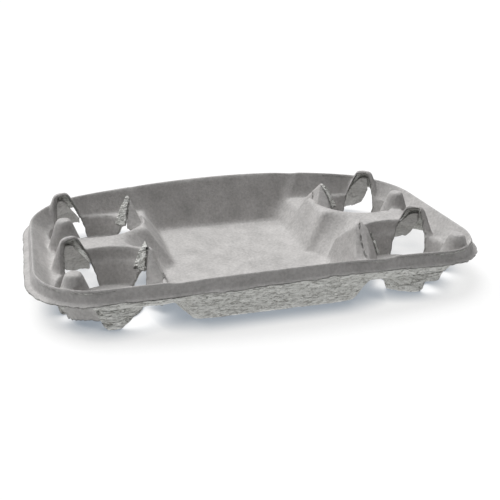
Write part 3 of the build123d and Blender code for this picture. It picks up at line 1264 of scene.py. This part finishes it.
@dataclass
class Shell:
    """A closed shell: an upper face, the same face moved in, and a band round the edge.

    "lumps" and "smooth_lumps" are how far noise moves the lower and the upper face, in mm, and
    "felt" says how felted the upper face is. The edge values make the band round the edge felted
    and darken it with painted shade, in patches. Each pitch is that of a noise, in mm, and each
    shift is where in the noise it is read.
    """

    points: np.ndarray
    faces: np.ndarray
    thickness: float | np.ndarray
    grain: Grain
    lumps: float = 0.45
    smooth_lumps: float = 0.0
    felt: float | np.ndarray = 0.0
    lump_pitch: float = 5.0
    fine_pitch: float = 1.7
    fine_share: float = 0.4
    fine_shift: float = 90.0
    swell_pitch: float = 9.0
    swell_shift: float = 300.0
    table_gap: float = 0.05
    edge_felt: float = 0.55
    # strength of the painted shade along the torn edge band, its patches, its least share and its
    # share on the lower face
    edge_shade_level: float = 0.55
    edge_shade_patches: float = 0.6
    edge_pitch: float = 8.0
    edge_shift: float = 700.0
    edge_shade_least: float = 0.1
    edge_shade_below: float = 0.6

    def close(self) -> tuple[np.ndarray, np.ndarray, dict[str, np.ndarray]]:
        """Lower point = upper point - normal * thickness, moved by noise, with a band round the edge.

        No point lies under the table.

        Returns:
            Points in mm, triangles, and the attributes of every point by name: how felted it
            is, and how strongly painted shade darkens the torn edge there.
        """
        normal = point_normals(self.points, self.faces)
        count = len(self.points)
        noise = self.grain.rough(self.points, self.lump_pitch, 3)
        fine = self.grain.at(self.points + self.fine_shift, self.fine_pitch)
        depth = self.thickness + self.lumps * noise + self.fine_share * self.lumps * fine
        swell = self.smooth_lumps * self.grain.at(self.points + self.swell_shift, self.swell_pitch)
        upper = self.points + normal * swell[:, None]
        lower = self.points - normal * depth[:, None]
        lower[:, 2] = np.maximum(lower[:, 2], self.table_gap)
        band = open_edges(self.faces)
        a, b = band[:, 0], band[:, 1]
        sides = np.concatenate(
            [np.stack([b, a, a + count], axis=1), np.stack([b, a + count, b + count], axis=1)]
        )
        faces = np.concatenate([self.faces, self.faces[:, ::-1] + count, sides])
        face_kind = np.repeat([PulpFace.SMOOTH.value, PulpFace.WIRE.value], count)
        face_kind[:count] = self.felt
        face_kind[a] = np.maximum(face_kind[a], self.edge_felt)
        patches = self.grain.at(self.points[a] + self.edge_shift, self.edge_pitch)
        # painted shade along the torn edge band, in patches, weaker on the lower face
        torn = np.zeros(2 * count)
        torn[a] = np.clip(self.edge_shade_level + self.edge_shade_patches * patches, self.edge_shade_least, 1.0)
        torn[a + count] = self.edge_shade_below * torn[a]
        marks = {"wire_face": face_kind, "torn_edge_shade": torn}
        return np.concatenate([upper, lower]), faces, marks


def make_object(
    name: str, points: np.ndarray, faces: np.ndarray, marks: dict[str, np.ndarray]
) -> bpy.types.Object:
    """Puts points and triangles into a smooth shaded mesh object at the origin.

    Args:
        name: Name of the object and its mesh.
        points: Points as an (n, 3) array, in mm.
        faces: Triangles as (m, 3) indices.
        marks: Attributes by name, one value a point.

    Returns:
        The object, linked to the scene.
    """
    mesh = bpy.data.meshes.new(name)
    mesh.vertices.add(len(points))
    mesh.vertices.foreach_set("co", (points * MM).astype(np.float32).ravel())
    mesh.loops.add(faces.size)
    mesh.loops.foreach_set("vertex_index", faces.astype(np.int32).ravel())
    mesh.polygons.add(len(faces))
    mesh.polygons.foreach_set("loop_start", np.arange(0, faces.size, 3, dtype=np.int32))
    mesh.update(calc_edges=True)
    mesh.validate()
    mesh.polygons.foreach_set("use_smooth", np.ones(len(mesh.polygons), bool))
    for mark, values in marks.items():
        layer = mesh.attributes.new(mark, "FLOAT", "POINT")
        layer.data.foreach_set("value", values.astype(np.float32))
    mesh.update()
    piece = bpy.data.objects.new(name, mesh)
    bpy.context.scene.collection.objects.link(piece)
    return piece


class NodeGraph:
    """The node tree of a material or of the world, and the steps that its patterns are made of."""

    def __init__(self, tree: bpy.types.NodeTree) -> None:
        """Takes hold of a tree.

        Args:
            tree: The tree that nodes are added to.
        """
        self.tree = tree

    def feed(self, socket: bpy.types.NodeSocket, value: Source) -> None:
        """Gives a socket another node's output, or a number, colour or vector of its own.

        Args:
            socket: The socket.
            value: What it is given.
        """
        if isinstance(value, bpy.types.NodeSocket):
            self.tree.links.new(value, socket)
        elif socket.type == "RGBA":
            socket.default_value = (*value, 1.0)
        else:
            socket.default_value = value

    def add(self, kind: str, sockets: dict[str | int, Source] | None = None) -> bpy.types.Node:
        """Adds a node.

        Args:
            kind: Type of the node.
            sockets: What its sockets are given, by name or place.

        Returns:
            The node.
        """
        node = self.tree.nodes.new(kind)
        for name, value in (sockets or {}).items():
            self.feed(node.inputs[name], value)
        return node

    def attribute(self, name: str) -> bpy.types.NodeSocket:
        """The value of an attribute of the mesh.

        Args:
            name: Name of the attribute.

        Returns:
            The socket that gives it.
        """
        node = self.add("ShaderNodeAttribute")
        node.attribute_name = name
        return node.outputs["Fac"]

    def noise(
        self, place: bpy.types.NodeSocket, scale: float, detail: float, rough: float, warp: float = 0.0
    ) -> bpy.types.NodeSocket:
        """Noise at a place.

        Args:
            place: The place, in metres where scale is in cells a metre.
            scale: Cells to a unit of the place.
            detail: Layers of finer noise.
            rough: Share of each finer layer.
            warp: How far the pattern is drawn out of line.

        Returns:
            The socket that gives it.
        """
        node = self.add("ShaderNodeTexNoise", {"Vector": place, "Scale": scale, "Detail": detail})
        self.feed(node.inputs["Roughness"], rough)
        self.feed(node.inputs["Distortion"], warp)
        return node.outputs["Fac"]

    def ramp(self, value: bpy.types.NodeSocket, ends: tuple[float, float]) -> bpy.types.NodeSocket:
        """Stretches the values between two ends to 0 and 1.

        Args:
            value: The value.
            ends: The values that become 0 and 1.

        Returns:
            The socket that gives the result.
        """
        node = self.add("ShaderNodeMapRange", {"Value": value})
        self.feed(node.inputs["From Min"], ends[0])
        self.feed(node.inputs["From Max"], ends[1])
        return node.outputs["Result"]

    def mix_colour(self, share: Source, first: Source, second: Source) -> bpy.types.NodeSocket:
        """Mixes two colours.

        Args:
            share: Share of the second.
            first: First colour.
            second: Second colour.

        Returns:
            The socket that gives the mix.
        """
        node = self.add("ShaderNodeMix")
        node.data_type = "RGBA"
        given = {("Factor", "VALUE"): share, ("A", "RGBA"): first, ("B", "RGBA"): second}
        for socket in node.inputs:
            if (socket.name, socket.type) in given:
                self.feed(socket, given[socket.name, socket.type])
        return [socket for socket in node.outputs if socket.type == "RGBA"][0]

    def mix_value(self, share: Source, first: Source, second: Source) -> bpy.types.NodeSocket:
        """Mixes two values by a share of the second."""
        node = self.add("ShaderNodeMix", {"Factor": share, "A": first, "B": second})
        return node.outputs["Result"]

    def maths(self, kind: str, first: Source, second: Source) -> bpy.types.NodeSocket:
        """Joins two values.

        Args:
            kind: The operation.
            first: First value.
            second: Second value.

        Returns:
            The socket that gives the result.
        """
        node = self.add("ShaderNodeMath", {0: first, 1: second})
        node.operation = kind
        return node.outputs[0]

    def summed(
        self, first: Source, second: Source, gains: tuple[float, float]
    ) -> bpy.types.NodeSocket:
        """The sum of two values, each times a gain.

        Args:
            first: First value.
            second: Second value.
            gains: Their gains.

        Returns:
            The socket that gives the sum.
        """
        left = self.maths("MULTIPLY", first, gains[0])
        right = self.maths("MULTIPLY", second, gains[1])
        return self.maths("ADD", left, right)

    def background_or(self, usual: Source, background: Source) -> bpy.types.NodeSocket:
        """A shader that rays from the camera, in gloss and through glass find changed.

        Args:
            usual: Shader that every other ray finds.
            background: Shader that those rays find.

        Returns:
            The socket that gives the shader.
        """
        rays = self.add("ShaderNodeLightPath").outputs
        seen = self.maths("MAXIMUM", rays["Is Camera Ray"], rays["Is Glossy Ray"])
        seen = self.maths("MAXIMUM", seen, rays["Is Transmission Ray"])
        return self.add("ShaderNodeMixShader", {0: seen, 1: usual, 2: background}).outputs[0]


@dataclass(frozen=True)
class PulpFinish:
    """Moulded pulp: a fairly smooth face and a rough, felted one left by the wire.

    A scale is in cells a metre, a range is the part of a noise that is stretched to 0 and 1, and
    a mix holds the gains of two noises that are added up.
    """

    smooth_colour: tuple[float, float, float] = (0.62, 0.605, 0.595)
    smooth_dark: tuple[float, float, float] = (0.31, 0.303, 0.297)
    # colour of the felted face: partly its own lighter tone, and raised further as painted light on
    # the shaded underside
    wire_colour_and_painted_light: tuple[float, float, float] = (0.90, 0.905, 0.87)
    # colour of the painted shade in the felted face's hollows, and of the smooth face's real dark
    # specks
    hollow_shade_and_speck_colour: tuple[float, float, float] = (0.40, 0.395, 0.365)
    # colour of the painted shade along the torn edges
    edge_shade_colour: tuple[float, float, float] = (0.13, 0.122, 0.112)
    roughness: float = 0.92
    gloss: float = 0.25
    cloud_scale: float = 55.0
    cloud_range: tuple[float, float] = (0.3, 0.7)
    mottle_scale: float = 420.0
    mottle_range: tuple[float, float] = (0.35, 0.75)
    tone_mix: tuple[float, float] = (0.45, 0.45)
    speck_scale: float = 210.0
    speck_range: tuple[float, float] = (0.16, 0.06)
    speck_patch_scale: float = 120.0
    speck_patch_range: tuple[float, float] = (0.52, 0.62)
    speck_strength: float = 0.5
    wrinkle_scale: tuple[float, float, float] = (170.0, 260.0, 420.0)
    wrinkle_warp: float = 1.1
    wrinkle_rough: float = 0.55
    lump_scale: float = 520.0
    fine_scale: float = 900.0
    rough: float = 0.6
    # how wrinkles and lumps are mixed into the painted shade of the hollows, and the part of that mix
    # stretched to it
    hollow_shade_mix: tuple[float, float] = (0.75, 0.25)
    hollow_shade_range: tuple[float, float] = (0.52, 0.36)
    edge_shade_range: tuple[float, float] = (0.3, 0.55)
    smooth_bump_mix: tuple[float, float] = (0.12, 0.06)
    wire_bump_mix: tuple[float, float] = (2.2, 0.4)
    bump_depth: float = 0.0022

    def smooth_face(
        self, graph: NodeGraph, place: bpy.types.NodeSocket, mottle: bpy.types.NodeSocket
    ) -> bpy.types.NodeSocket:
        """Colour of the smooth face: two tones mixed by clouds and mottle, with rare dark specks.

        Args:
            graph: The material's nodes.
            place: Object coordinates.
            mottle: Fine mottle from 0 to 1.

        Returns:
            The socket that gives the colour.
        """
        cloud = graph.noise(place, self.cloud_scale, detail=4.0, rough=self.rough)
        tone = graph.summed(graph.ramp(cloud, self.cloud_range), mottle, self.tone_mix)
        plain = graph.mix_colour(tone, self.smooth_colour, self.smooth_dark)
        cells = graph.add("ShaderNodeTexVoronoi", {"Vector": place, "Scale": self.speck_scale})
        dot = graph.ramp(cells.outputs["Distance"], self.speck_range)
        rare = graph.noise(place, self.speck_patch_scale, detail=1.0, rough=0.5)
        dots = graph.maths("MULTIPLY", dot, graph.ramp(rare, self.speck_patch_range))
        dots = graph.maths("MULTIPLY", dots, self.speck_strength)
        return graph.mix_colour(dots, plain, self.hollow_shade_and_speck_colour)

    def material(self) -> bpy.types.Material:
        """Builds the node material.

        The wire face is light, partly its own tone and partly painted light, with painted shade in
        the hollows between its wrinkles and lumps. The wire_face attribute mixes the two faces'
        colours and heights, and the torn edge attribute paints shade along the torn edges. The
        height for the bump is fine noise on the smooth face, and wrinkles and lumps on the wire face.

        Returns:
            The material.
        """
        made = bpy.data.materials.new(PULP)
        made.use_nodes = True
        graph = NodeGraph(made.node_tree)
        place = graph.add("ShaderNodeTexCoord").outputs["Object"]
        felted = graph.attribute("wire_face")
        mottle = graph.noise(place, self.mottle_scale, detail=3.0, rough=self.rough)
        mottle = graph.ramp(mottle, self.mottle_range)
        stretched = graph.add("ShaderNodeMapping", {"Vector": place, "Scale": self.wrinkle_scale})
        at = stretched.outputs["Vector"]
        wrinkle = graph.noise(at, 1.0, 4.0, self.wrinkle_rough, warp=self.wrinkle_warp)
        lump = graph.noise(place, self.lump_scale, detail=3.0, rough=self.rough)
        # painted shade: the hollows between wrinkles and lumps darken the felted face
        hollow_shade = graph.ramp(graph.summed(wrinkle, lump, self.hollow_shade_mix), self.hollow_shade_range)
        wire = graph.mix_colour(hollow_shade, self.wire_colour_and_painted_light, self.hollow_shade_and_speck_colour)
        body = graph.mix_colour(felted, self.smooth_face(graph, place, mottle), wire)
        # painted shade along the torn edges, in patches from the lump noise
        patches = graph.ramp(lump, self.edge_shade_range)
        edge_shade_share = graph.maths("MULTIPLY", graph.attribute("torn_edge_shade"), patches)
        fine = graph.noise(place, self.fine_scale, detail=3.0, rough=self.rough)
        soft = graph.summed(fine, mottle, self.smooth_bump_mix)
        coarse = graph.summed(wrinkle, lump, self.wire_bump_mix)
        height = graph.mix_value(felted, soft, coarse)
        bump = graph.add("ShaderNodeBump", {"Strength": 1.0, "Height": height})
        graph.feed(bump.inputs["Distance"], self.bump_depth)
        shader = made.node_tree.nodes["Principled BSDF"].inputs
        graph.feed(shader["Roughness"], self.roughness)
        graph.feed(shader["Specular IOR Level"], self.gloss)
        graph.feed(shader["Base Color"], graph.mix_colour(edge_shade_share, body, self.edge_shade_colour))
        graph.feed(shader["Normal"], bump.outputs["Normal"])
        return made


@dataclass(frozen=True)
class TableFinish:
    """A white light table, lit faintly from below.

    The camera sees it white, with the lamp's shadow and a painted bluish shade close to the tray,
    drawn from ambient occlusion. reach is how far that painted shade goes, in metres.
    """

    matt: float = 0.10
    under_light: float = 0.72
    lit: float = 0.25
    glow: float = 0.78
    painted_shade: tuple[float, float, float] = (0.30, 0.345, 0.40)
    reach: float = 0.024
    shade_samples: int = 24
    covered: float = 0.25
    open_sky: float = 0.97

    def material(self) -> bpy.types.Material:
        """Matt with light from below to the tray, and white with shadows to the camera.

        What the camera sees is a matt part, which holds the lamp's shadow, and a glowing part,
        which painted shade tones where ambient occlusion finds the tray close above.

        Returns:
            The material.
        """
        made = bpy.data.materials.new("white_table")
        made.use_nodes = True
        made.node_tree.nodes.clear()
        graph = NodeGraph(made.node_tree)
        plain = graph.add("ShaderNodeBsdfDiffuse", {"Color": (self.matt,) * 3})
        below = graph.add("ShaderNodeEmission", {"Strength": self.under_light})
        table = graph.add("ShaderNodeAddShader", {0: plain.outputs[0], 1: below.outputs[0]})
        # painted shade: ambient occlusion tones the glow that the camera sees where the tray is close
        # above
        near = graph.add("ShaderNodeAmbientOcclusion", {"Distance": self.reach})
        near.samples = self.shade_samples
        clear = graph.add("ShaderNodeMapRange", {"Value": near.outputs["AO"]})
        clear.interpolation_type = "SMOOTHSTEP"
        graph.feed(clear.inputs["From Min"], self.covered)
        graph.feed(clear.inputs["From Max"], self.open_sky)
        tone = graph.mix_colour(clear.outputs["Result"], self.painted_shade, (1.0, 1.0, 1.0))
        glow = graph.add("ShaderNodeEmission", {"Color": tone, "Strength": self.glow})
        lit = graph.add("ShaderNodeBsdfDiffuse", {"Color": (self.lit,) * 3})
        pale = graph.add("ShaderNodeAddShader", {0: lit.outputs[0], 1: glow.outputs[0]})
        surface = graph.background_or(table.outputs[0], pale.outputs[0])
        graph.add("ShaderNodeOutputMaterial", {"Surface": surface})
        return made


def dress(piece: bpy.types.Object) -> None:
    """Gives a piece the pulp finish, and lets it ride on the carrier's body.

    Args:
        piece: The piece.
    """
    made = bpy.data.materials.get(PULP) or PulpFinish().material()
    piece.data.materials.append(made)
    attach(piece, "root")


@dataclass
class CarrierPiece:
    """The carrier's moulded sheet with its four torn fingers, as one closed shell."""

    form: Carrier = field(default_factory=Carrier)
    patch_low: tuple[float, float] = (-12.0, -46.0)
    patch_high: tuple[float, float] = (27.0, 22.0)
    patch_pitch: float = 0.8
    patch_inset: float = 0.5
    tear_pitch: float = 3.0
    crack_tear: float = 0.5
    foot_tear: float = 2.4
    crumple: float = 2.6
    crumple_inset: float = 3.0
    crumple_shift: float = 70.0

    def finger_points(self, corner: Corner, plan: np.ndarray) -> np.ndarray:
        """Points of a plan, given as on the right side, carried to a corner at its finger's height.

        Args:
            corner: The cup.
            plan: Points as an (n, 2) array, in mm.

        Returns:
            Points as an (n, 3) array, in mm.
        """
        x = plan[:, 0] * corner.value[0]
        return np.stack([x, plan[:, 1], self.form.finger_height(corner, x, plan[:, 1])], axis=1)

    def finger_patch(self, corner: Corner) -> tuple[np.ndarray, np.ndarray]:
        """The part of one finger that stands over its cup well, down to its torn foot.

        The height is the finger's own. It is kept inside the well's edge and above the torn level,
        outside the opening that faces the cup. Noise crumples its torn side.

        Args:
            corner: The cup.

        Returns:
            Points in mm and triangles.
        """
        form = self.form
        side, row = corner.value
        finger = FINGERS[corner]
        centre = np.array([form.cup_x, row * form.cup_y])
        ring = centre + form.seam_radius * unit_ring(form.ring_step)
        fill = form.leaf_place(row) + lattice(self.patch_low, self.patch_high, self.patch_pitch)
        fill = fill[np.hypot(*(fill - centre).T) < form.seam_radius - self.patch_inset]
        plan, faces = triangulate(np.concatenate([ring, fill]))
        points = self.finger_points(corner, plan)
        z = points[:, 2]
        tear = form.tear_grain.rough(points, self.tear_pitch, 3)
        place = form.on_finger(corner, points[:, 0], points[:, 1])
        hole = finger.opening(*place) + self.crack_tear * tear
        torn_level = TORN_WELLS[corner].finger_level
        level = np.where(finger.past_crack(*place) < 0.0, finger.front_level, torn_level)
        kept = np.minimum(z - level + self.foot_tear * tear, -hole)
        rim = np.abs(np.hypot(*(plan - centre).T) - form.seam_radius) < ON_SEAM
        kept = np.where(rim, np.where(z > form.deck_level, 0.0, -1.0), kept)
        plan, faces = cut(plan, faces, kept)
        points = self.finger_points(corner, plan)
        from_seam = form.seam_radius - np.hypot(*(plan - centre).T)
        inside = np.clip(from_seam / self.crumple_inset, 0.0, 1.0)
        folds = form.tear_grain.rough(points + self.crumple_shift, self.tear_pitch, 3)
        folds = folds * form.torn_share(points)
        points[:, 2] += self.crumple * folds * inside
        return points, faces if side > 0 else faces[:, ::-1]

    def build(self) -> bpy.types.Object:
        """Joins the tray and the finger patches, gives them their thickness and makes the piece.

        Returns:
            The piece.
        """
        form = self.form
        plan, faces = triangulate(*form.plan_points())
        z = form.height(plan[:, 0], plan[:, 1])
        plan, faces = cut(plan, faces, form.kept(plan[:, 0], plan[:, 1], z))
        z = form.height(plan[:, 0], plan[:, 1])
        parts = [(np.column_stack([plan, z]), faces)]
        parts += [self.finger_patch(corner) for corner in Corner]
        start = np.cumsum([0] + [len(points) for points, _ in parts[:-1]])
        points = np.concatenate([points for points, _ in parts])
        faces = np.concatenate([part + at for (_, part), at in zip(parts, start)])
        points, faces = weld(points, faces)
        shell = Shell(points, faces, form.sheet * form.thinness(points), form.wire_grain)
        shell.felt = form.torn_share(points)
        piece = make_object("carrier_sheet", *shell.close())
        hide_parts("carrier")
        dress(piece)
        return piece


@dataclass
class TonguePieces:
    """The four torn strips that hang inside the hoods, and a torn flap on one well."""

    form: Carrier = field(default_factory=Carrier)
    usual: Tongue = Tongue()
    short: Tongue = Tongue(lower=(33.0, 27.0, 20.0, 14.5, 12.0, 10.5))
    sloping: Tongue = Tongue(lower=(24.0, 16.5, 10.5, 7.0, 4.0, 3.0))
    flap: Tongue = Tongue(
        bearings=(281.0, 285.0, 297.0, 309.0, 324.0, 333.0, 337.0),
        lower=(11.0, 8.3, 8.4, 7.3, 4.3, 3.4, 9.0),
        upper=(21.4, 21.4, 21.4, 21.4, 21.4, 21.4, 21.4),
        levels=(0.0, 22.0),
        radii=(36.4, 41.2),
        across=60,
        smooth_felt_and_painted_light=0.1,
        rough_felt_and_painted_light=0.9,
        rough_from=0.5,
    )
    thickness: float = 1.7
    lumps: float = 0.25

    def strip(self, name: str, corner: Corner, tongue: Tongue) -> bpy.types.Object:
        """Makes one closed strip.

        Args:
            name: Name of the piece.
            corner: The cup.
            tongue: The strip's shape.

        Returns:
            The piece.
        """
        side, row = corner.value
        centre = np.array([side * self.form.cup_x, row * self.form.cup_y])
        points, faces = tongue.surface(centre, side, self.form.tear_grain)
        grain = self.form.wire_grain
        shell = Shell(points, faces, self.thickness, grain, self.lumps, self.lumps)
        closed, triangles, marks = shell.close()
        rougher = marks["wire_face"] > tongue.rough_from
        # on the strips in the hoods the felt shares also lighten the shaded strip, as painted light
        marks["wire_face"] = np.where(rougher, tongue.rough_felt_and_painted_light, tongue.smooth_felt_and_painted_light)
        piece = make_object(name, closed, triangles, marks)
        dress(piece)
        return piece

    def build(self) -> list[bpy.types.Object]:
        """Makes a strip a hood, and the flap with its smooth face outwards.

        Returns:
            The five pieces.
        """
        special = {Corner.BACK_RIGHT: self.sloping, Corner.FRONT_RIGHT: self.short}
        pieces = []
        for corner in Corner:
            shape = special.get(corner, self.usual)
            pieces.append(self.strip("tongue_" + corner.name.lower(), corner, shape))
        return [*pieces, self.strip("flap_front_left", Corner.FRONT_LEFT, self.flap)]


@dataclass
class Studio:
    """Table, lamp, white surroundings and the camera at the photograph's view, in metres."""

    table_half: float = 3.0
    lamp_place: tuple[float, float, float] = (-0.22, 0.40, 1.0)
    lamp_spread: float = 50.0
    lamp_strength: float = 3.45
    world_light: float = 0.07
    camera_place: tuple[float, float, float] = (-0.1715, -0.5758, 0.2689)
    camera_yaw: float = 16.84
    camera_pitch: float = 23.12
    camera_roll: float = 0.99
    focal_pixels: float = 738.85
    sensor: float = 36.0

    def build(self) -> None:
        """Makes the table, the lamp, the surroundings and the camera."""
        self.table()
        self.lamp()
        self.surroundings()
        self.camera()

    def table(self) -> None:
        """A large flat table top at the level of the tray's feet."""
        mesh = bpy.data.meshes.new("table")
        half = self.table_half
        corners = [(-half, -half, 0.0), (half, -half, 0.0), (half, half, 0.0), (-half, half, 0.0)]
        mesh.from_pydata(corners, [], [(0, 1, 2, 3)])
        mesh.update()
        top = bpy.data.objects.new("table", mesh)
        bpy.context.scene.collection.objects.link(top)
        top.data.materials.append(TableFinish().material())

    def lamp(self) -> None:
        """A broad distant lamp that faces the tray.

        Its place is a direction from the tray, its spread is how wide it looks from there, in
        degrees, and a strength of pi lights a surface that faces it at a plain level.
        """
        data = bpy.data.lights.new("softbox", "SUN")
        data.angle = math.radians(self.lamp_spread)
        data.energy = self.lamp_strength
        lamp = bpy.data.objects.new("softbox", data)
        bpy.context.scene.collection.objects.link(lamp)
        lamp.location = self.lamp_place
        lamp.rotation_euler = (-Vector(self.lamp_place)).to_track_quat("-Z", "Y").to_euler()

    def surroundings(self) -> None:
        """World that lights softly and that the camera sees as white."""
        world = bpy.data.worlds.new("studio")
        bpy.context.scene.world = world
        world.use_nodes = True
        world.node_tree.nodes.clear()
        graph = NodeGraph(world.node_tree)
        white = (1.0, 1.0, 1.0)
        soft, plain = (
            graph.add("ShaderNodeBackground", {"Color": white, "Strength": strength}).outputs[0]
            for strength in (self.world_light, 1.0)
        )
        surface = graph.background_or(soft, plain)
        graph.add("ShaderNodeOutputWorld", {"Surface": surface})

    def camera(self) -> None:
        """Camera turned by yaw, pitch and roll, with the focal length from pixels to mm."""
        yaw, pitch, roll = (
            math.radians(v) for v in (self.camera_yaw, self.camera_pitch, self.camera_roll)
        )
        ahead = Vector(
            (math.cos(pitch) * math.sin(yaw), math.cos(pitch) * math.cos(yaw), -math.sin(pitch))
        )
        level = Vector((math.cos(yaw), -math.sin(yaw), 0.0))
        up = level.cross(ahead)
        right = math.cos(roll) * level + math.sin(roll) * up
        top = -math.sin(roll) * level + math.cos(roll) * up
        data = bpy.data.cameras.new("camera")
        data.sensor_width = self.sensor
        data.sensor_fit = "HORIZONTAL"
        data.lens = self.focal_pixels / PHOTO_PIXELS * self.sensor
        camera = bpy.data.objects.new("camera", data)
        bpy.context.scene.collection.objects.link(camera)
        turn = Matrix((right, top, -ahead)).transposed().to_4x4()
        camera.matrix_world = Matrix.Translation(Vector(self.camera_place)) @ turn
        bpy.context.scene.camera = camera


def main() -> None:
    """Builds the carrier and the studio, and reports each piece."""
    logging.basicConfig(level=logging.INFO, format="%(name)s: %(message)s")
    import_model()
    bpy.context.scene.view_settings.view_transform = "Standard"
    piece = CarrierPiece().build()
    for made in [piece, *TonguePieces().build()]:
        LOG.info("%s: %d triangles", made.name, len(made.data.polygons))
    Studio().build()


if __name__ == "__main__":
    main()
